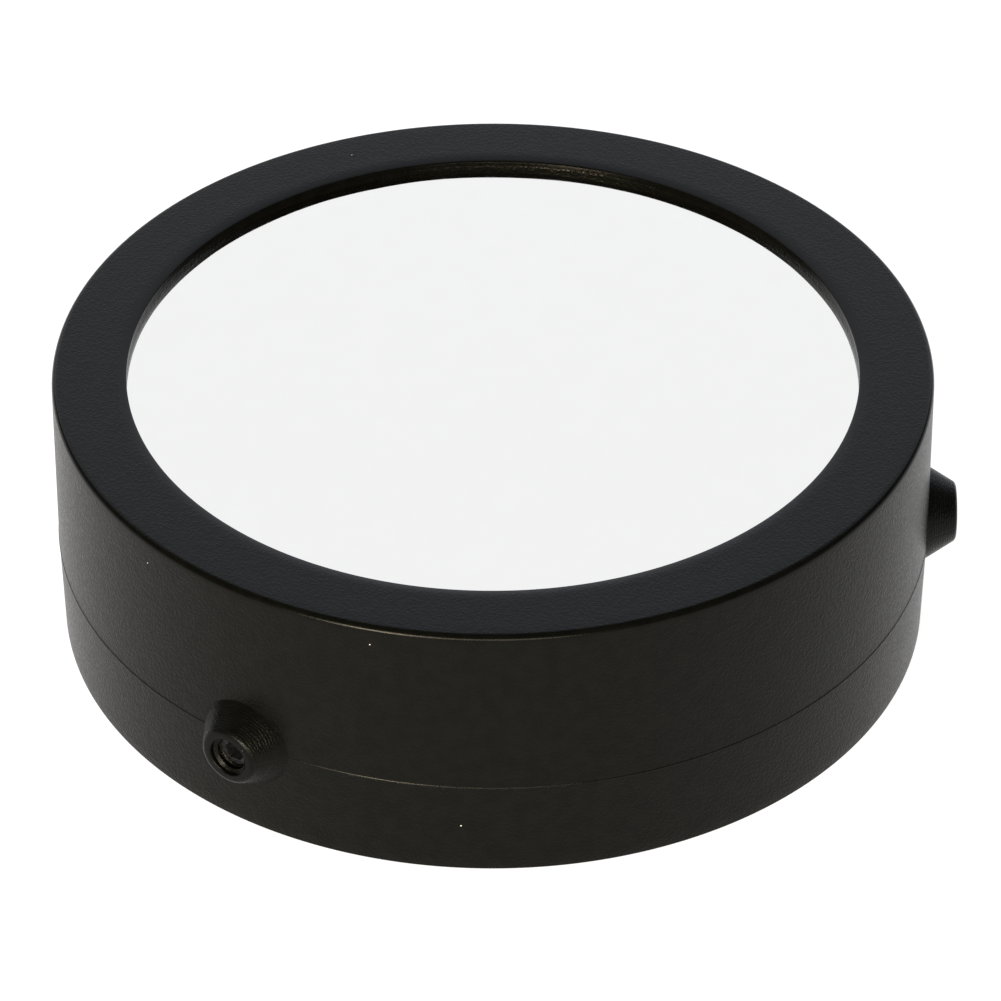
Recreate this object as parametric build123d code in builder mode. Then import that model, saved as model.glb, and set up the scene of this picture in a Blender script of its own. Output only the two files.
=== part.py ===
"""Full-aperture solar filter for a small telescope: a moulded cap that carries a metallised film.

Millimetres, +Z up. The origin is on the cap's axis, in the plane of the open rear rim. The film
faces +Z. The first clamp boss points along +X.
"""

import os
from math import cos, radians, sin

from build123d import *

# ------------------------------------------------------------------ driving dimensions
# Moulded cell
front_radius = 65.0  # outside, at the front face
cell_height = 42.6
wall = 2.5  # skirt thickness at the front face
seat_step = 0.8  # how much narrower the bore round the film stack is than the tube's bore
flange_thickness = 1.7
face_width = 11.0  # from the outside to the opening
lip_width = 2.5  # elliptical inner edge of the front face, towards the opening
lip_depth = 0.4
face_edge_round = 1.0  # outer edge of the front face
rim_edge_round = 0.4
parting_height = 15.4  # mould parting line, and the height of the clamp screws
upper_draft = 0.1  # radius gained from the front face to the parting line
lower_draft = 0.4  # radius lost from the parting line to the rear rim
flash_reach = 0.1  # fine ridge along the parting line
flash_width = 0.3

# Clamp bosses
front_pair_angle = 123.0  # between the first boss and the last; the middle one stands halfway behind
boss_root_radius = 6.95
boss_nose_radius = 4.3
boss_nose_round = 0.5
boss_embedment = 1.7  # how deep the boss's solid goes into the skirt
wall_breakthrough = 1.0  # how far the hole's cutter runs on into the open skirt

# Clamp screws: M6 hexagon-socket grub screws, each with a swivelling nylon pad
thread_radius = 3.0  # tapped hole, drawn plain at its major radius
thread_clearance = 0.05
screw_length = 4.0
screw_recess = 2.0  # nose to the screw's outer end
screw_end_chamfer = 0.35
hex_across_flats = 3.0
hex_depth = 1.8
pad_radius = 2.3
pad_thickness = 0.8
pad_setback = 0.05  # pad's face behind the tube's bore
pad_edge_round = 0.25
spigot_radius = 1.2
spigot_length = 1.2
pad_clearance = 0.05  # round the spigot, at its end and between the faces

# Film and what holds it, in order from the flange backwards
tape_thickness = 0.1
film_thickness = 0.1
carrier_thickness = 1.5
gasket_thickness = 1.0
retainer_thickness = 2.6
stop_thickness = 2.5
tape_margin = 0.7  # from the opening's edge to the ring's inner edge, here and in the next four
carrier_margin = 0.5
gasket_margin = 0.7
retainer_margin = 0.3
stop_margin = 0.9
retainer_side_gap = 0.4  # retaining ring to the skirt
stack_side_gap = 0.3  # film stack to the screw posts
stop_side_gap = 0.5  # foam ring to the edge of the retaining ring
retainer_edge_round = 0.4

# Retaining screws: M2 pan-head screws into moulded posts
retaining_count = 6
post_radius = 2.0
head_edge_width = 0.8  # ring left between a head's recess and the ring's edge
retaining_radius = 1.0
retaining_length = 4.4
retaining_clearance = 0.02
ring_hole_clearance = 0.15
head_radius = 1.9
head_height = 1.3
head_round = 0.4
head_clearance = 0.1
recess_width = 0.5
recess_span = 2.0
recess_depth = 0.7

# ------------------------------------------------------------------ places that follow from them
parting_radius = front_radius + upper_draft
rim_radius = parting_radius - lower_draft
tube_bore_radius = front_radius - wall
stack_bore_radius = tube_bore_radius - seat_step
opening_radius = front_radius - face_width

flange_back = cell_height - flange_thickness
tape_back = flange_back - tape_thickness
film_back = tape_back - film_thickness
carrier_back = film_back - carrier_thickness
gasket_back = carrier_back - gasket_thickness
retainer_back = gasket_back - retainer_thickness
stop_back = retainer_back - stop_thickness

retainer_outer_radius = stack_bore_radius - retainer_side_gap
stop_outer_radius = retainer_outer_radius - stop_side_gap
post_circle = retainer_outer_radius - head_edge_width - head_clearance - head_radius
film_radius = post_circle - post_radius - stack_side_gap
head_seat = retainer_back + head_height
retaining_end = head_seat + retaining_length

pad_face = tube_bore_radius + pad_setback
pad_back = pad_face + pad_thickness
screw_inner_end = pad_back + pad_clearance
screw_outer_end = screw_inner_end + screw_length
nose_reach = screw_outer_end + screw_recess
boss_base = parting_radius - boss_embedment
cone_slope = (boss_root_radius - boss_nose_radius) / (nose_reach - parting_radius)
boss_base_radius = boss_root_radius + cone_slope * boss_embedment
boss_angles = [0.0, (360.0 - front_pair_angle) / 2, 360.0 - front_pair_angle]
retaining_start_angle = boss_angles[1] + 180.0 / retaining_count  # so the middle boss's plane mirrors them


def boss_section(angle):
    """Upright plane through a boss's axis: x runs outwards along it, y runs up."""
    a = radians(angle)
    return Plane(origin=(0, 0, parting_height), x_dir=(cos(a), sin(a), 0), z_dir=(sin(a), -cos(a), 0))


def boss_axis(angle):
    """The axis of a clamp boss and its screw, pointing outwards."""
    a = radians(angle)
    return Axis((0, 0, parting_height), (cos(a), sin(a), 0))


def square_to_boss(angle, reach):
    """Plane square to a boss's axis, at this distance from the cap's axis, facing outwards."""
    a = radians(angle)
    outwards = (cos(a), sin(a), 0)
    return Plane(origin=(reach * cos(a), reach * sin(a), parting_height), x_dir=(0, 0, 1), z_dir=outwards)


# ------------------------------------------------------------------ moulded cell
with BuildPart() as cell_body:
    # Skirt and flange in one section, turned round the axis
    with BuildSketch(Plane.XZ):
        with BuildLine():
            Polyline(
                (opening_radius, flange_back),
                (stack_bore_radius, flange_back),
                (stack_bore_radius, stop_back),
                (tube_bore_radius, stop_back),
                (tube_bore_radius, 0),
                (rim_radius, 0),
                (parting_radius, parting_height - flash_width / 2),
                (parting_radius + flash_reach, parting_height),
                (parting_radius, parting_height + flash_width / 2),
                (front_radius, cell_height),
                (opening_radius + lip_width, cell_height),
            )
            EllipticalCenterArc(
                (opening_radius + lip_width, cell_height - lip_depth),
                lip_width,
                lip_depth,
                start_angle=90,
                arc_size=90,
            )
            Line((opening_radius, cell_height - lip_depth), (opening_radius, flange_back))
        section = make_face()
        fillet(section.vertices().group_by(Axis.Y)[-1].sort_by(Axis.X)[-1], face_edge_round)
        fillet(section.vertices().group_by(Axis.Y)[0].sort_by(Axis.X)[-1], rim_edge_round)
    revolve(axis=Axis.Z)

    # Screw posts behind the flange
    with BuildSketch(Plane.XY.offset(gasket_back)):
        with PolarLocations(post_circle, retaining_count, retaining_start_angle):
            Circle(post_radius)
    extrude(amount=flange_back - gasket_back)

    # Conical clamp bosses, each with a plain hole for the thread
    for angle in boss_angles:
        with BuildSketch(boss_section(angle)):
            with BuildLine():
                Polyline(
                    (boss_base, 0),
                    (nose_reach, 0),
                    (nose_reach, boss_nose_radius),
                    (boss_base, boss_base_radius),
                    close=True,
                )
            cone = make_face()
            fillet(cone.vertices().group_by(Axis.X)[-1].sort_by(Axis.Y)[-1], boss_nose_round)
        revolve(axis=boss_axis(angle))
        with BuildSketch(square_to_boss(angle, nose_reach)):
            Circle(thread_radius)
        extrude(amount=-(nose_reach - tube_bore_radius + wall_breakthrough), mode=Mode.SUBTRACT)

    # Pilot holes for the retaining screws
    with BuildSketch(Plane.XY.offset(gasket_back)):
        with PolarLocations(post_circle, retaining_count, retaining_start_angle):
            Circle(retaining_radius + retaining_clearance)
    extrude(amount=retaining_end + retaining_clearance - gasket_back, mode=Mode.SUBTRACT)

# ------------------------------------------------------------------ film and what holds it
def flat_ring(inner_radius, outer_radius, back, thickness):
    """Plain flat ring on the cap's axis."""
    with BuildPart() as ring:
        with BuildSketch(Plane.XY.offset(back)):
            Circle(outer_radius)
            Circle(inner_radius, mode=Mode.SUBTRACT)
        extrude(amount=thickness)
    return ring


adhesive_ring = flat_ring(opening_radius + tape_margin, film_radius, tape_back, tape_thickness)
film_carrier = flat_ring(opening_radius + carrier_margin, film_radius, carrier_back, carrier_thickness)
foam_gasket = flat_ring(opening_radius + gasket_margin, film_radius, gasket_back, gasket_thickness)
tube_stop_ring = flat_ring(opening_radius + stop_margin, stop_outer_radius, stop_back, stop_thickness)

with BuildPart() as film:
    with BuildSketch(Plane.XY.offset(film_back)):
        Circle(film_radius)
    extrude(amount=film_thickness)

with BuildPart() as retaining_ring:
    with BuildSketch(Plane.XY.offset(retainer_back)):
        Circle(retainer_outer_radius)
        Circle(opening_radius + retainer_margin, mode=Mode.SUBTRACT)
    extrude(amount=retainer_thickness)
    rear_edges = retaining_ring.edges().group_by(Axis.Z)[0]
    fillet(rear_edges, retainer_edge_round)
    with BuildSketch(Plane.XY.offset(retainer_back)):
        with PolarLocations(post_circle, retaining_count, retaining_start_angle):
            Circle(retaining_radius + ring_hole_clearance)
    extrude(amount=retainer_thickness, mode=Mode.SUBTRACT)
    with BuildSketch(Plane.XY.offset(retainer_back)):
        with PolarLocations(post_circle, retaining_count, retaining_start_angle):
            Circle(head_radius + head_clearance)
    extrude(amount=head_height, mode=Mode.SUBTRACT)

# ------------------------------------------------------------------ retaining screws
retaining_screws = []
for number in range(retaining_count):
    a = radians(retaining_start_angle + 360.0 / retaining_count * number)
    centre = (post_circle * cos(a), post_circle * sin(a))
    with BuildPart() as retaining_screw:
        with BuildSketch(Plane(origin=(*centre, retainer_back))):
            Circle(head_radius)
        extrude(amount=head_height)
        fillet(retaining_screw.edges().group_by(Axis.Z)[0], head_round)
        with BuildSketch(Plane(origin=(*centre, head_seat))):
            Circle(retaining_radius)
        extrude(amount=retaining_length)
        chamfer(retaining_screw.edges().group_by(Axis.Z)[-1], retaining_radius / 2)
        with BuildSketch(Plane(origin=(*centre, retainer_back))):
            Rectangle(recess_span, recess_width)
            Rectangle(recess_width, recess_span)
        extrude(amount=recess_depth, mode=Mode.SUBTRACT)
    retaining_screws.append(retaining_screw)

# ------------------------------------------------------------------ clamp screws and their pads
clamp_screws = []
clamp_pads = []
for angle in boss_angles:
    with BuildPart() as clamp_screw:
        with BuildSketch(square_to_boss(angle, screw_inner_end)):
            Circle(thread_radius - thread_clearance)
        extrude(amount=screw_length)
        ends = clamp_screw.edges().filter_by(GeomType.CIRCLE)
        chamfer(ends, screw_end_chamfer)
        with BuildSketch(square_to_boss(angle, screw_outer_end)):
            RegularPolygon(hex_across_flats / 2, 6, major_radius=False)
        extrude(amount=-hex_depth, mode=Mode.SUBTRACT)
        with BuildSketch(square_to_boss(angle, screw_inner_end)):
            Circle(spigot_radius + pad_clearance)
        extrude(amount=spigot_length, mode=Mode.SUBTRACT)
    clamp_screws.append(clamp_screw)

    with BuildPart() as clamp_pad:
        with BuildSketch(square_to_boss(angle, pad_face)):
            Circle(pad_radius)
        extrude(amount=pad_thickness)
        fillet(clamp_pad.edges(), pad_edge_round)
        with BuildSketch(square_to_boss(angle, pad_back)):
            Circle(spigot_radius)
        extrude(amount=spigot_length)
    clamp_pads.append(clamp_pad)

# ------------------------------------------------------------------ export
pieces = {
    "cell_body": cell_body,
    "film": film,
    "adhesive_ring": adhesive_ring,
    "film_carrier": film_carrier,
    "foam_gasket": foam_gasket,
    "retaining_ring": retaining_ring,
    "tube_stop_ring": tube_stop_ring,
}
for number, screw in enumerate(retaining_screws, start=1):
    pieces[f"retaining_screw_{number}"] = screw
for number, (screw, pad) in enumerate(zip(clamp_screws, clamp_pads), start=1):
    pieces[f"clamp_screw_{number}"] = screw
    pieces[f"clamp_pad_{number}"] = pad

os.makedirs("parts", exist_ok=True)
for name, piece in pieces.items():
    piece.part.label = name
    export_step(piece.part, f"parts/{name}.step")
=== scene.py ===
import math

import bmesh
import bpy
from mathutils import Matrix, Vector, noise


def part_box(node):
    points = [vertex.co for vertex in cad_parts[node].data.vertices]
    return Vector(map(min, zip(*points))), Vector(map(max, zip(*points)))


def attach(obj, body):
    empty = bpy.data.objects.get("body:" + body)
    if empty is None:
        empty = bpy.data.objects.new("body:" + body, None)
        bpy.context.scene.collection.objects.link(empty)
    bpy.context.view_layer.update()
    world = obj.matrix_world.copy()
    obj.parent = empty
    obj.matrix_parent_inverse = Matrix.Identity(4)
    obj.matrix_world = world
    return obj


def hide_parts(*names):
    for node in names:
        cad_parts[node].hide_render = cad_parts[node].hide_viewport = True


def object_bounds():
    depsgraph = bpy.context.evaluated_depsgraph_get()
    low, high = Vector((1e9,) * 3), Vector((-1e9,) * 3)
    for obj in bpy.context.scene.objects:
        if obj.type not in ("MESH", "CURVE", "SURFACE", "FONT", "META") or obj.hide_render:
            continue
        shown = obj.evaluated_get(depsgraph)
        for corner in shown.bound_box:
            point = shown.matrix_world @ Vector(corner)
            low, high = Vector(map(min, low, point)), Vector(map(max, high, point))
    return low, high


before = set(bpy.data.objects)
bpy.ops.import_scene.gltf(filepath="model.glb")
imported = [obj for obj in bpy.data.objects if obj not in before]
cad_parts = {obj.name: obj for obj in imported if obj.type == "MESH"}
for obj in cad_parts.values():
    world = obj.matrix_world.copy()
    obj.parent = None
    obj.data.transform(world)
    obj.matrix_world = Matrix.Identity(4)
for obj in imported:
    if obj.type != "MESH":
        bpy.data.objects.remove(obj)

cad_low, cad_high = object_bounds()

# ------------------------------------------------------------------ sizes, in metres
MM = 0.001
TURN = 2 * math.pi

cell_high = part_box("cell_body")[1]
film_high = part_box("film")[1]
stop_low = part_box("tube_stop_ring")[0]
screw_low, screw_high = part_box("clamp_screw_1")

# film
FILM_RADIUS = film_high.x
FILM_FRONT = film_high.z
FILM_THICKNESS = 0.05 * MM
FOLD_SETTLING = 1.6 * MM  # the film's folds die out over this width inside the opening
WAVE_HEIGHT = 0.10 * MM  # broad waves in the film
FOLD_HEIGHT = 0.07 * MM  # narrower folds across them

# moulded cell
HEIGHT = cell_high.z
FRONT_RADIUS = 65.0 * MM
WALL = 2.5 * MM
SEAT_STEP = 0.8 * MM  # the bore round the film stack is narrower than the tube's bore by this
FACE_WIDTH = 11.0 * MM
FLANGE_THICKNESS = 1.7 * MM
UPPER_DRAFT = 0.1 * MM  # radius gained from the front face to the parting line
LOWER_DRAFT = 0.4 * MM  # radius lost from the parting line to the rear rim
FLASH_REACH = 0.1 * MM  # fine ridge along the parting line
FLASH_WIDTH = 0.3 * MM
FLASH_ROUND = 0.08 * MM
FACE_EDGE_ROUND = 1.0 * MM
RIM_EDGE_ROUND = 0.4 * MM
BORE_EDGE_ROUND = 0.3 * MM
LIP_WIDTH = 2.5 * MM
LIP_DEPTH = 0.4 * MM
BEAD_WIDTH = 0.6 * MM  # a narrow bead round the opening comes down to the film
BEAD_GAP = 0.015 * MM

PARTING_HEIGHT = (screw_low.z + screw_high.z) / 2
PARTING_RADIUS = FRONT_RADIUS + UPPER_DRAFT
RIM_RADIUS = PARTING_RADIUS - LOWER_DRAFT
BORE_RADIUS = FRONT_RADIUS - WALL
STACK_BORE_RADIUS = BORE_RADIUS - SEAT_STEP
OPENING_RADIUS = FRONT_RADIUS - FACE_WIDTH
FLANGE_BACK = HEIGHT - FLANGE_THICKNESS
BEAD_BACK = FILM_FRONT + BEAD_GAP
SEAT_HEIGHT = stop_low.z

# clamp bosses and their tapped holes
BOSS_COUNT = 3
BOSS_ROOT_RADIUS = 6.95 * MM
BOSS_NOSE_RADIUS = 4.3 * MM
BOSS_NOSE_ROUND = 0.5 * MM
BOSS_EMBEDMENT = 1.7 * MM  # how deep a boss is sunk in the wall
NOSE_REACH = cell_high.x
HOLE_RADIUS = 3.0 * MM
HOLE_COUNTERSINK = 0.15 * MM
HOLE_RUNOUT = 0.4 * MM  # how far the hole's cutter stands out past the nose
HOLE_BACK = 2.0 * MM  # how far it goes past the wall into the bore

# clamp screws
THREAD_PITCH = 1.0 * MM
THREAD_DEPTH = 0.5 * MM
THREAD_ROOT = 0.03 * MM  # how far a ridge is sunk in the cylinder it stands on
SCREW_RADIUS = (screw_high.z - screw_low.z) / 2
SCREW_OUTER_END = screw_high.x
SCREW_INNER_END = screw_low.x
SCREW_END_ROUND = 0.15 * MM
HEX_ACROSS_FLATS = 3.0 * MM
HEX_RADIUS = HEX_ACROSS_FLATS / 2 / math.cos(math.radians(30))
HEX_DEPTH = 1.8 * MM
SPIGOT_HOLE_RADIUS = 1.25 * MM
SPIGOT_HOLE_DEPTH = 1.2 * MM

RETAINING_COUNT = 6

# segments in a full turn, or in the round named
ROUND_STEPS = 360
SOFT_RING_STEPS = 240
BOSS_STEPS = 96
SCREW_STEPS = 72
THREAD_STEPS = 48
LIP_STEPS = 24

# angles past which an edge is shaded sharp, in degrees
CELL_SHARP_ANGLE = 30  # keeps the ridge at the parting line from shading the wall beside it
SCREW_SHARP_ANGLE = 30
SOFT_SHARP_ANGLE = 60


def boss_angle(number):
    """Angle of a clamp boss from +X, read from its screw's place."""
    low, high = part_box(f"clamp_screw_{number + 1}")
    return math.atan2(low.y + high.y, low.x + high.x)


BOSS_ANGLES = [boss_angle(number) for number in range(BOSS_COUNT)]


# ------------------------------------------------------------------ mesh helpers
def section(points):
    """A bmesh with one face in the XZ plane. A point is x, z, and a round corner's radius and segments."""
    bm = bmesh.new()
    corners = [bm.verts.new((x, 0, z)) for x, z, *rounding in points]
    bm.faces.new(corners)
    for corner, (x, z, *rounding) in zip(corners, points):
        if rounding:
            radius, segments = rounding
            bmesh.ops.bevel(bm, geom=[corner], offset=radius, offset_type="OFFSET",
                            segments=segments, profile=0.5, affect="VERTICES", material=-1)
    return bm


def divide_long_edges(bm, longest):
    """Cuts every edge longer than this into equal pieces."""
    for edge in list(bm.edges):
        cuts = int(edge.calc_length() / longest)
        if cuts:
            bmesh.ops.subdivide_edges(bm, edges=[edge], cuts=cuts)


def turn_section(bm, steps):
    """Turns the section's outline once round the Z axis and drops the flat face."""
    outline = list(bm.edges)
    bmesh.ops.delete(bm, geom=list(bm.faces), context="FACES_ONLY")
    bmesh.ops.spin(bm, geom=outline, cent=(0, 0, 0), axis=(0, 0, 1), dvec=(0, 0, 0),
                   angle=TURN, steps=steps, use_merge=True, use_duplicate=False)
    bmesh.ops.remove_doubles(bm, verts=bm.verts, dist=1e-7)
    bmesh.ops.recalc_face_normals(bm, faces=bm.faces)


def shade(mesh, sharp_angle):
    """Smooth faces, with edges sharp past this angle."""
    mesh.shade_smooth()
    mesh.set_sharp_from_angle(angle=math.radians(sharp_angle))


def finished(bm, name, material, sharp_angle=35):
    """Makes an object of a bmesh, shaded and in its material."""
    mesh = bpy.data.meshes.new(name)
    bm.to_mesh(mesh)
    bm.free()
    obj = bpy.data.objects.new(name, mesh)
    bpy.context.scene.collection.objects.link(obj)
    shade(mesh, sharp_angle)
    mesh.materials.append(material)
    return obj


def apply_modifiers(obj):
    """Replaces the object's mesh by what its modifiers make of it."""
    depsgraph = bpy.context.evaluated_depsgraph_get()
    mesh = bpy.data.meshes.new_from_object(obj.evaluated_get(depsgraph))
    obj.modifiers.clear()
    obj.data = mesh


def boolean(obj, tool, operation):
    """Joins or cuts with a closed tool object, which is then removed."""
    modifier = obj.modifiers.new(operation, "BOOLEAN")
    modifier.operation = operation
    modifier.solver = "EXACT"
    modifier.object = tool
    apply_modifiers(obj)
    bpy.data.objects.remove(tool)


def along_boss(number):
    """Takes +Z at the origin to the axis of a clamp boss, pointing outwards."""
    return (Matrix.Translation((0, 0, PARTING_HEIGHT))
            @ Matrix.Rotation(BOSS_ANGLES[number], 4, "Z")
            @ Matrix.Rotation(math.radians(90), 4, "Y"))


def add_helix(bm, radius, start, turns, outwards):
    """Adds a screw-thread ridge round Z. It stands outwards or inwards on a cylinder of this radius."""
    foot = 0.42 * THREAD_PITCH
    crest = 0.07 * THREAD_PITCH
    sign = 1 if outwards else -1
    root = radius - sign * THREAD_ROOT
    tip = radius + sign * THREAD_DEPTH
    profile = [(root, -foot), (tip, -crest), (tip, crest), (root, foot)]
    face = bm.faces.new([bm.verts.new((x, 0, start + z)) for x, z in profile])
    steps = round(THREAD_STEPS * turns)
    bmesh.ops.spin(bm, geom=[face], cent=(0, 0, 0), axis=(0, 0, 1),
                   dvec=(0, 0, THREAD_PITCH * turns / steps), angle=TURN * turns,
                   steps=steps, use_merge=False, use_duplicate=False)


# ------------------------------------------------------------------ shader helpers
def new_group(name, inputs, outputs):
    """An empty shader node group with value or vector sockets; returns it with its input and output."""
    group = bpy.data.node_groups.new(name, "ShaderNodeTree")
    kinds = {"value": "NodeSocketFloat", "vector": "NodeSocketVector"}
    for in_out, sockets in (("INPUT", inputs), ("OUTPUT", outputs)):
        for socket, kind in sockets:
            group.interface.new_socket(name=socket, in_out=in_out, socket_type=kinds[kind])
    return group, group.nodes.new("NodeGroupInput"), group.nodes.new("NodeGroupOutput")


def feed(tree, socket, value):
    """Links a node's input to another node's output, or gives it a plain value."""
    if isinstance(value, bpy.types.NodeSocket):
        tree.links.new(value, socket)
    else:
        socket.default_value = value


def math_node(tree, operation, *values):
    """A Math node fed by sockets or numbers; returns its output."""
    node = tree.nodes.new("ShaderNodeMath")
    node.operation = operation
    for socket, value in zip(node.inputs, values):
        feed(tree, socket, value)
    return node.outputs[0]


def vector_node(tree, operation, *values):
    """A Vector Math node fed by sockets or triples; returns the node."""
    node = tree.nodes.new("ShaderNodeVectorMath")
    node.operation = operation
    for socket, value in zip(node.inputs, values):
        feed(tree, socket, value)
    return node


def smooth_range(tree, value, low, high, to_low=0.0, to_high=1.0):
    """Maps a value to a new range with soft ends."""
    node = tree.nodes.new("ShaderNodeMapRange")
    node.interpolation_type = "SMOOTHSTEP"
    tree.links.new(value, node.inputs["Value"])
    for name, number in (("From Min", low), ("From Max", high), ("To Min", to_low), ("To Max", to_high)):
        node.inputs[name].default_value = number
    return node.outputs["Result"]


def noise_node(tree, vector, scale, detail=2.0, roughness=0.5):
    """A 3D noise texture; returns the node."""
    node = tree.nodes.new("ShaderNodeTexNoise")
    node.inputs["Scale"].default_value = scale
    node.inputs["Detail"].default_value = detail
    node.inputs["Roughness"].default_value = roughness
    tree.links.new(vector, node.inputs["Vector"])
    return node


def mix_colours(tree, factor, first, second):
    """Mixes two colours, each a socket or a tuple, by a socket."""
    node = tree.nodes.new("ShaderNodeMix")
    node.data_type = "RGBA"
    tree.links.new(factor, node.inputs["Factor"])
    colour_sockets = node.inputs[6], node.inputs[7]  # the node also has number and vector sockets
    for socket, value in zip(colour_sockets, (first, second)):
        feed(tree, socket, (*value, 1.0) if isinstance(value, tuple) else value)
    return node.outputs[2]


def bump(tree, shader, height, distance):
    """Feeds a height to the shader's normal through a Bump node."""
    node = tree.nodes.new("ShaderNodeBump")
    node.inputs["Strength"].default_value = 1.0
    node.inputs["Distance"].default_value = distance
    tree.links.new(height, node.inputs["Height"])
    tree.links.new(node.outputs["Normal"], shader.inputs["Normal"])


def new_material(name, roughness, metallic=0.0, specular=0.5):
    """A material with its Principled BSDF; returns it with its tree, shader and Object coordinates."""
    material = bpy.data.materials.new(name)
    material.use_nodes = True
    tree = material.node_tree
    shader = tree.nodes["Principled BSDF"]
    shader.inputs["Roughness"].default_value = roughness
    shader.inputs["Metallic"].default_value = metallic
    shader.inputs["Specular IOR Level"].default_value = specular
    coords = tree.nodes.new("ShaderNodeTexCoord").outputs["Object"]
    return material, tree, shader, coords


def place_group(tree, group, coords, values=None):
    """Puts a node group in a material, reading these coordinates, with its own values."""
    node = tree.nodes.new("ShaderNodeGroup")
    node.node_tree = group
    tree.links.new(coords, node.inputs["Vector"])
    for name, value in (values or {}).items():
        node.inputs[name].default_value = value
    return node


# ------------------------------------------------------------------ surface effects
def make_grain_group():
    """Moulded leather grain: rounded pebbles parted by narrow valleys. Puts out a height and a tone."""
    group, given, out = new_group(
        "leather grain",
        [("Vector", "vector"), ("Pebbles per metre", "value"), ("Unevenness", "value")],
        [("Height", "value"), ("Tone", "value")])
    bend = 0.7 * MM
    warp = noise_node(group, given.outputs["Vector"], 900.0)
    centred = vector_node(group, "SUBTRACT", warp.outputs["Color"], (0.5, 0.5, 0.5))
    bent = vector_node(group, "MULTIPLY_ADD", centred.outputs["Vector"], (bend, bend, bend),
                       given.outputs["Vector"])
    cells = group.nodes.new("ShaderNodeTexVoronoi")
    cells.feature = "SMOOTH_F1"
    cells.inputs["Smoothness"].default_value = 0.35
    group.links.new(bent.outputs["Vector"], cells.inputs["Vector"])
    group.links.new(given.outputs["Pebbles per metre"], cells.inputs["Scale"])
    dome = smooth_range(group, cells.outputs["Distance"], 0.05, 0.75, 1.0, 0.0)
    fine = noise_node(group, given.outputs["Vector"], 5200.0, 3.0)
    patchy = noise_node(group, given.outputs["Vector"], 420.0)
    uneven = math_node(group, "MULTIPLY", patchy.outputs["Fac"], given.outputs["Unevenness"])
    base = math_node(group, "MULTIPLY_ADD", fine.outputs["Fac"], 0.18, dome)
    group.links.new(math_node(group, "ADD", base, uneven), out.inputs["Height"])
    group.links.new(smooth_range(group, patchy.outputs["Fac"], 0.3, 0.7), out.inputs["Tone"])
    return group


def make_dust_group():
    """A few specks of lint: a mask that is 1 on a speck."""
    group, given, out = new_group(
        "dust specks",
        [("Vector", "vector"), ("Specks per metre", "value"), ("Size", "value"), ("Share", "value")],
        [("Mask", "value")])
    cells = group.nodes.new("ShaderNodeTexVoronoi")
    cells.feature = "F1"
    group.links.new(given.outputs["Vector"], cells.inputs["Vector"])
    group.links.new(given.outputs["Specks per metre"], cells.inputs["Scale"])
    near = math_node(group, "LESS_THAN", cells.outputs["Distance"], given.outputs["Size"])
    split = group.nodes.new("ShaderNodeSeparateColor")
    group.links.new(cells.outputs["Color"], split.inputs["Color"])
    chosen = math_node(group, "LESS_THAN", split.outputs["Red"], given.outputs["Share"])
    group.links.new(math_node(group, "MULTIPLY", near, chosen), out.inputs["Mask"])
    return group


def make_boss_group():
    """Where a point lies along the nearest clamp boss: masks of its cone and nose, and turned rings."""
    group, given, out = new_group(
        "boss zones", [("Vector", "vector")],
        [("Cone", "value"), ("Nose", "value"), ("Rings", "value")])
    reach = None
    for angle in BOSS_ANGLES:
        direction = (math.cos(angle), math.sin(angle), 0.0)
        value = vector_node(group, "DOT_PRODUCT", given.outputs["Vector"], direction).outputs["Value"]
        reach = value if reach is None else math_node(group, "MAXIMUM", reach, value)
    cone = smooth_range(group, reach, PARTING_RADIUS + 0.2 * MM, PARTING_RADIUS + 0.6 * MM)
    nose = smooth_range(group, reach, NOSE_REACH - 0.35 * MM, NOSE_REACH - 0.08 * MM)
    group.links.new(cone, out.inputs["Cone"])
    group.links.new(nose, out.inputs["Nose"])
    ring_spacing = 0.38 * MM
    shift = noise_node(group, given.outputs["Vector"], 700.0)
    wavering = math_node(group, "MULTIPLY_ADD", shift.outputs["Fac"], 0.7 * MM, reach)
    rings = math_node(group, "SINE", math_node(group, "MULTIPLY", wavering, TURN / ring_spacing))
    group.links.new(math_node(group, "MULTIPLY_ADD", rings, 0.5, 0.5), out.inputs["Rings"])
    return group


def make_edge_group():
    """The mould's polished edges: a mask of the front edge, the lip and the ridge at the parting line."""
    group, given, out = new_group("polished edges", [("Vector", "vector")], [("Mask", "value")])
    split = group.nodes.new("ShaderNodeSeparateXYZ")
    group.links.new(given.outputs["Vector"], split.inputs["Vector"])
    height = split.outputs["Z"]
    below_face = smooth_range(group, height, HEIGHT - 0.10 * MM, HEIGHT - 0.02 * MM, 1.0, 0.0)
    above_wall = smooth_range(group, height, HEIGHT - 1.3 * MM, HEIGHT - 0.9 * MM)
    front = math_node(group, "MULTIPLY", below_face, above_wall)
    off_ridge = math_node(group, "ABSOLUTE", math_node(group, "SUBTRACT", height, PARTING_HEIGHT))
    ridge = smooth_range(group, off_ridge, 0.14 * MM, 0.20 * MM, 1.0, 0.0)
    group.links.new(math_node(group, "MAXIMUM", front, ridge), out.inputs["Mask"])
    return group


GRAIN = make_grain_group()
DUST = make_dust_group()
BOSS_ZONES = make_boss_group()
EDGES = make_edge_group()


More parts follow.
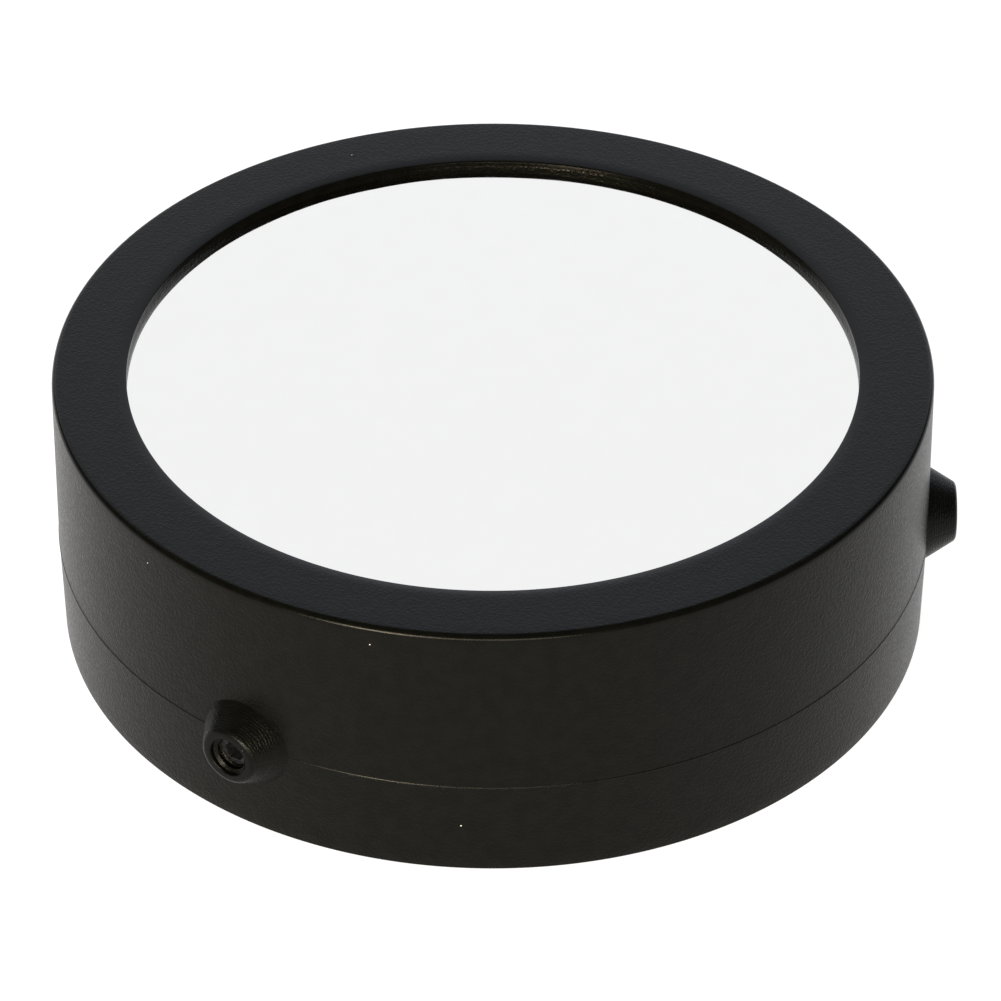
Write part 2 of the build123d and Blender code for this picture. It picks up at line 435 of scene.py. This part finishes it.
# ------------------------------------------------------------------ materials
def moulded_black():
    """The cell's black plastic: leather grain, rings on the cones, smoother noses and edges, lint."""
    material, tree, shader, coords = new_material("moulded_black", 0.30, specular=0.085)
    grain = place_group(tree, GRAIN, coords, {"Pebbles per metre": 2000.0, "Unevenness": 0.35})
    specks = place_group(tree, DUST, coords, {"Specks per metre": 160.0, "Size": 0.022, "Share": 0.5})
    zones = place_group(tree, BOSS_ZONES, coords)
    edges = place_group(tree, EDGES, coords)

    deep, pale = (0.0018, 0.0019, 0.0013), (0.0028, 0.0029, 0.0022)
    nose, lint = (0.0013, 0.0014, 0.0010), (0.55, 0.53, 0.50)
    black = mix_colours(tree, grain.outputs["Tone"], deep, pale)
    black = mix_colours(tree, zones.outputs["Nose"], black, nose)
    colour = mix_colours(tree, specks.outputs["Mask"], black, lint)
    tree.links.new(colour, shader.inputs["Base Color"])

    gloss = smooth_range(tree, grain.outputs["Height"], 0.2, 1.3, 0.35, 0.26)
    polish = math_node(tree, "MULTIPLY_ADD", edges.outputs["Mask"], -0.10, gloss)
    tree.links.new(polish, shader.inputs["Roughness"])

    smooth = math_node(tree, "MAXIMUM", edges.outputs["Mask"], zones.outputs["Nose"])
    rough_share = math_node(tree, "MULTIPLY_ADD", smooth, -0.8, 1.0)
    rings = math_node(tree, "MULTIPLY", zones.outputs["Rings"], zones.outputs["Cone"])
    relief = math_node(tree, "MULTIPLY_ADD", rings, 0.9, grain.outputs["Height"])
    bump(tree, shader, math_node(tree, "MULTIPLY", relief, rough_share), 0.025 * MM)
    return material


def metallised_film():
    """Bright metallised film with a faint mottle in its gloss."""
    material, tree, shader, coords = new_material("metallised_film", 0.05, metallic=1.0)
    mottle = noise_node(tree, coords, 260.0, 4.0, 0.6)
    tone = mix_colours(tree, mottle.outputs["Fac"], (0.616, 0.588, 0.530), (0.636, 0.608, 0.548))
    tree.links.new(tone, shader.inputs["Base Color"])
    gloss = smooth_range(tree, mottle.outputs["Fac"], 0.3, 0.7, 0.03, 0.09)
    tree.links.new(gloss, shader.inputs["Roughness"])
    ripple = noise_node(tree, coords, 120.0)
    bump(tree, shader, ripple.outputs["Fac"], 0.03 * MM)
    return material


def plain_finish(name, dark, light, roughness, scale, depth, metallic=0.0, specular=0.5, stretch=None):
    """A finish of two close colours mottled by noise, with its own gloss range and bump depth."""
    material, tree, shader, coords = new_material(name, sum(roughness) / 2, metallic, specular)
    if stretch:
        mapping = tree.nodes.new("ShaderNodeMapping")
        mapping.inputs["Scale"].default_value = stretch
        tree.links.new(coords, mapping.inputs["Vector"])
        coords = mapping.outputs["Vector"]
    pattern = noise_node(tree, coords, scale, 5.0, 0.6)
    mottle = smooth_range(tree, pattern.outputs["Fac"], 0.35, 0.65)
    tree.links.new(mix_colours(tree, mottle, dark, light), shader.inputs["Base Color"])
    gloss = smooth_range(tree, pattern.outputs["Fac"], 0.3, 0.7, *roughness)
    tree.links.new(gloss, shader.inputs["Roughness"])
    bump(tree, shader, pattern.outputs["Fac"], depth)
    return material


MOULDED = moulded_black()
FILM = metallised_film()
ADHESIVE = plain_finish("adhesive", (0.62, 0.59, 0.50), (0.74, 0.71, 0.62), (0.25, 0.45), 900, 0.02 * MM)
CARRIER = plain_finish("carrier_sheet", (0.018, 0.018, 0.018), (0.026, 0.026, 0.027), (0.42, 0.60),
                       1500, 0.02 * MM)
FOAM = plain_finish("black_foam", (0.010, 0.010, 0.011), (0.040, 0.040, 0.042), (0.85, 0.98),
                    4200, 0.12 * MM, specular=0.2)
RING = plain_finish("ring_plastic", (0.014, 0.014, 0.014), (0.022, 0.022, 0.023), (0.32, 0.48),
                    1900, 0.02 * MM)
FELT = plain_finish("felt", (0.006, 0.006, 0.006), (0.030, 0.030, 0.031), (0.92, 1.0),
                    6500, 0.18 * MM, specular=0.1, stretch=(1.0, 1.0, 2.5))
ZINC = plain_finish("zinc_steel", (0.52, 0.53, 0.55), (0.68, 0.69, 0.70), (0.24, 0.42),
                    2600, 0.01 * MM, metallic=1.0)
BLACK_STEEL = plain_finish("black_steel", (0.020, 0.020, 0.023), (0.045, 0.046, 0.052), (0.28, 0.46),
                           3000, 0.01 * MM, metallic=0.7)
NYLON = plain_finish("nylon", (0.70, 0.68, 0.60), (0.80, 0.78, 0.71), (0.35, 0.50), 1400, 0.02 * MM)


# ------------------------------------------------------------------ moulded cell
def boss_cone():
    """Closed solid of one boss, its axis on Z."""
    base = PARTING_RADIUS - BOSS_EMBEDMENT
    slope = (BOSS_ROOT_RADIUS - BOSS_NOSE_RADIUS) / (NOSE_REACH - PARTING_RADIUS)
    bm = section([(0, base),
                  (BOSS_ROOT_RADIUS + slope * BOSS_EMBEDMENT, base),
                  (BOSS_NOSE_RADIUS, NOSE_REACH, BOSS_NOSE_ROUND, 5),
                  (0, NOSE_REACH)])
    divide_long_edges(bm, longest=0.6 * MM)
    turn_section(bm, BOSS_STEPS)
    return bm


def hole_tool():
    """Closed solid of one clamp hole, with the countersink at its mouth, its axis on Z."""
    back = BORE_RADIUS - HOLE_BACK
    mouth = NOSE_REACH + HOLE_RUNOUT
    bm = section([(0, back),
                  (HOLE_RADIUS, back),
                  (HOLE_RADIUS, NOSE_REACH - HOLE_COUNTERSINK),
                  (HOLE_RADIUS + HOLE_COUNTERSINK + HOLE_RUNOUT, mouth),
                  (0, mouth)])
    turn_section(bm, BOSS_STEPS)
    return bm


def lip_curve():
    """Quarter ellipse from the front face down to the edge of the opening."""
    curve = []
    for step in range(LIP_STEPS + 1):
        angle = TURN / 4 * step / LIP_STEPS
        curve.append((OPENING_RADIUS + LIP_WIDTH * (1 - math.sin(angle)),
                      HEIGHT - LIP_DEPTH * (1 - math.cos(angle))))
    return curve


def make_cell():
    """The turned wall and flange, with a boss and its hole joined and cut at each clamp screw."""
    bm = section([(OPENING_RADIUS, BEAD_BACK),
                  (OPENING_RADIUS + BEAD_WIDTH, BEAD_BACK),
                  (OPENING_RADIUS + BEAD_WIDTH, FLANGE_BACK),
                  (STACK_BORE_RADIUS, FLANGE_BACK),
                  (STACK_BORE_RADIUS, SEAT_HEIGHT),
                  (BORE_RADIUS, SEAT_HEIGHT),
                  (BORE_RADIUS, 0, BORE_EDGE_ROUND, 4),
                  (RIM_RADIUS, 0, RIM_EDGE_ROUND, 5),
                  (PARTING_RADIUS, PARTING_HEIGHT - FLASH_WIDTH / 2),
                  (PARTING_RADIUS + FLASH_REACH, PARTING_HEIGHT, FLASH_ROUND, 5),
                  (PARTING_RADIUS, PARTING_HEIGHT + FLASH_WIDTH / 2),
                  (FRONT_RADIUS, HEIGHT, FACE_EDGE_ROUND, 12),
                  *lip_curve()])
    divide_long_edges(bm, longest=2.0 * MM)
    turn_section(bm, ROUND_STEPS)
    cell = finished(bm, "cell", MOULDED, CELL_SHARP_ANGLE)
    for number in range(BOSS_COUNT):
        for make, operation in ((boss_cone, "UNION"), (hole_tool, "DIFFERENCE")):
            tool_bm = make()
            tool_bm.transform(along_boss(number))
            boolean(cell, finished(tool_bm, "tool", MOULDED), operation)
    shade(cell.data, CELL_SHARP_ANGLE)
    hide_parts("cell_body")
    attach(cell, "cell")


def make_threads():
    """The ridge in each tapped hole, standing inwards from the hole's wall."""
    turns = (NOSE_REACH - SCREW_INNER_END) / THREAD_PITCH - 0.5
    for number in range(BOSS_COUNT):
        bm = bmesh.new()
        add_helix(bm, HOLE_RADIUS, SCREW_INNER_END, turns, outwards=False)
        bmesh.ops.recalc_face_normals(bm, faces=bm.faces)
        bm.transform(along_boss(number))
        thread = finished(bm, f"hole_thread_{number + 1}", MOULDED)
        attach(thread, "cell")


make_cell()
make_threads()


# ------------------------------------------------------------------ clamp screws
def sink_hole(screw, end, segments, radius, depth):
    """Sinks a straight hole of this many sides into one end of the screw."""
    bm = bmesh.new()
    bmesh.ops.create_cone(bm, cap_ends=True, segments=segments, radius1=radius, radius2=radius,
                          depth=2 * depth, matrix=Matrix.Translation((0, 0, end)))
    boolean(screw, finished(bm, "tool", BLACK_STEEL), "DIFFERENCE")


def make_clamp_screw(number):
    """Grub screw with a threaded shank, a hexagon socket and a hole for the pad's spigot."""
    core = SCREW_RADIUS - THREAD_DEPTH
    length = SCREW_OUTER_END - SCREW_INNER_END
    bm = section([(0, SCREW_INNER_END),
                  (core, SCREW_INNER_END, SCREW_END_ROUND, 2),
                  (core, SCREW_OUTER_END, SCREW_END_ROUND, 2),
                  (0, SCREW_OUTER_END)])
    turn_section(bm, SCREW_STEPS)
    screw = finished(bm, f"grub_screw_{number + 1}", BLACK_STEEL)
    sink_hole(screw, SCREW_OUTER_END, 6, HEX_RADIUS, HEX_DEPTH)
    sink_hole(screw, SCREW_INNER_END, 48, SPIGOT_HOLE_RADIUS, SPIGOT_HOLE_DEPTH)

    bm = bmesh.new()
    bm.from_mesh(screw.data)
    margin = 0.5 * THREAD_PITCH  # also sets the ridge halfway between the turns of the hole's ridge
    add_helix(bm, core, SCREW_INNER_END + margin, (length - 2 * margin) / THREAD_PITCH, outwards=True)
    bm.transform(along_boss(number))
    bmesh.ops.recalc_face_normals(bm, faces=bm.faces)
    bm.to_mesh(screw.data)
    bm.free()
    shade(screw.data, SCREW_SHARP_ANGLE)
    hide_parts(f"clamp_screw_{number + 1}")
    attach(screw, f"screw_{number + 1}")


for number in range(BOSS_COUNT):
    make_clamp_screw(number)


# ------------------------------------------------------------------ film and rings
def film_height(x, y):
    """How far the film stands off its flat plane: soft folds that die out under the flange."""
    radius = math.hypot(x, y)
    held = min(max((OPENING_RADIUS - radius) / FOLD_SETTLING, 0.0), 1.0)
    held = held * held * (3 - 2 * held)
    waves = noise.noise(Vector((x * 32, y * 32, 4.7)))
    folds = noise.noise(Vector((x * 95 + 3.1, y * 60, 9.2)))
    return held * (WAVE_HEIGHT * waves + FOLD_HEIGHT * folds)


def make_film():
    """The stretched disc of film, with its faint waves and folds."""
    back = FILM_FRONT - FILM_THICKNESS
    bm = section([(0, FILM_FRONT), (FILM_RADIUS, FILM_FRONT), (FILM_RADIUS, back), (0, back)])
    divide_long_edges(bm, longest=0.9 * MM)
    turn_section(bm, SOFT_RING_STEPS)
    for vert in bm.verts:
        vert.co.z += film_height(vert.co.x, vert.co.y)
    film = finished(bm, "film_sheet", FILM)
    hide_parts("film")
    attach(film, "cell")


def make_soft_ring(name, node, material, inner_radius, edge):
    """A foam or felt ring with softened edges, in its node's place."""
    low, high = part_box(node)
    corners = [(inner_radius, low.z), (high.x, low.z), (high.x, high.z), (inner_radius, high.z)]
    bm = section([(*corner, edge, 4) for corner in corners])
    divide_long_edges(bm, longest=0.8 * MM)
    turn_section(bm, SOFT_RING_STEPS)
    ring = finished(bm, name, material, SOFT_SHARP_ANGLE)
    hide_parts(node)
    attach(ring, "cell")


make_film()
make_soft_ring("felt_stop", "tube_stop_ring", FELT, OPENING_RADIUS + 0.9 * MM, 0.45 * MM)
make_soft_ring("foam_ring", "foam_gasket", FOAM, OPENING_RADIUS + 0.7 * MM, 0.2 * MM)


def dress(node, material):
    """Gives a CAD node's object its finish."""
    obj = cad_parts[node]
    obj.data.materials.clear()
    obj.data.materials.append(material)


dress("adhesive_ring", ADHESIVE)
dress("film_carrier", CARRIER)
dress("retaining_ring", RING)
for number in range(1, RETAINING_COUNT + 1):
    dress(f"retaining_screw_{number}", ZINC)
for number in range(1, BOSS_COUNT + 1):
    dress(f"clamp_pad_{number}", NYLON)


# ------------------------------------------------------------------ floor, lights and camera
def make_floor():
    """A wide pale floor just under the object, with a glow of its own."""
    bm = bmesh.new()
    bmesh.ops.create_grid(bm, x_segments=1, y_segments=1, size=6.0,
                          matrix=Matrix.Translation((0, 0, cad_low.z - 0.02 * MM)))
    material, tree, shader, coords = new_material("pale_floor", 0.9, specular=0.0)
    shader.inputs["Base Color"].default_value = (0.35, 0.35, 0.35, 1.0)
    shader.inputs["Emission Color"].default_value = (1.0, 1.0, 1.0, 1.0)
    shader.inputs["Emission Strength"].default_value = 0.90
    floor = finished(bm, "floor", material)


def direction_from(azimuth, elevation):
    """Unit vector at these angles. Azimuth 0 is in front, and turns towards +X."""
    return Vector((math.sin(azimuth) * math.cos(elevation), -math.cos(azimuth) * math.cos(elevation),
                   math.sin(elevation)))


def soft_light(name, azimuth, elevation, distance, width, height, radiance, colour):
    """A rectangular studio light aimed at the object from these angles in degrees."""
    data = bpy.data.lights.new(name, "AREA")
    data.shape = "RECTANGLE"
    data.size = width
    data.size_y = height
    data.energy = radiance * math.pi * width * height
    data.color = colour
    light = bpy.data.objects.new(name, data)
    away = direction_from(math.radians(azimuth), math.radians(elevation))
    light.location = Vector((0, 0, HEIGHT)) + away * distance
    light.rotation_mode = "QUATERNION"
    light.rotation_quaternion = away.to_track_quat("Z", "Y")
    bpy.context.scene.collection.objects.link(light)


def make_world():
    """An even, dim white surround."""
    world = bpy.data.worlds.new("studio")
    world.use_nodes = True
    background = world.node_tree.nodes["Background"]
    background.inputs["Color"].default_value = (1.0, 1.0, 1.0, 1.0)
    background.inputs["Strength"].default_value = 0.16
    bpy.context.scene.world = world


def make_camera():
    """A long lens from in front, looking down on the film."""
    azimuth, elevation = math.radians(0.15), math.radians(35.69)
    distance = 13.549 * FRONT_RADIUS
    pan, tilt, roll = (math.radians(angle) for angle in (-0.07, -1.31, -0.105))
    data = bpy.data.cameras.new("camera")
    data.sensor_width = 36.0
    data.lens = 214.78
    data.clip_start = 0.01
    camera = bpy.data.objects.new("camera", data)
    back = direction_from(azimuth, elevation)
    right = Vector((math.cos(azimuth), math.sin(azimuth), 0))
    up = back.cross(right)
    axes = Matrix((right, up, back)).transposed()
    aim = Matrix.Rotation(pan, 3, "Y") @ Matrix.Rotation(tilt, 3, "X") @ Matrix.Rotation(roll, 3, "Z")
    camera.rotation_mode = "QUATERNION"
    camera.rotation_quaternion = (axes @ aim).to_quaternion()
    camera.location = Vector((0, 0, HEIGHT)) + back * distance
    bpy.context.scene.collection.objects.link(camera)
    bpy.context.scene.camera = camera


make_floor()
soft_light("back_panel", 180, 38, 1.3, 2.6, 1.5, 1.42, (0.88, 0.93, 1.04))
soft_light("warm_strip", -26, 13, 1.0, 0.28, 0.22, 42.0, (1.0, 0.86, 0.62))
soft_light("wide_warm_strip", -12, 13, 1.0, 1.10, 0.20, 15.0, (1.0, 0.88, 0.68))
make_world()
make_camera()
bpy.context.scene.view_settings.view_transform = "Standard"
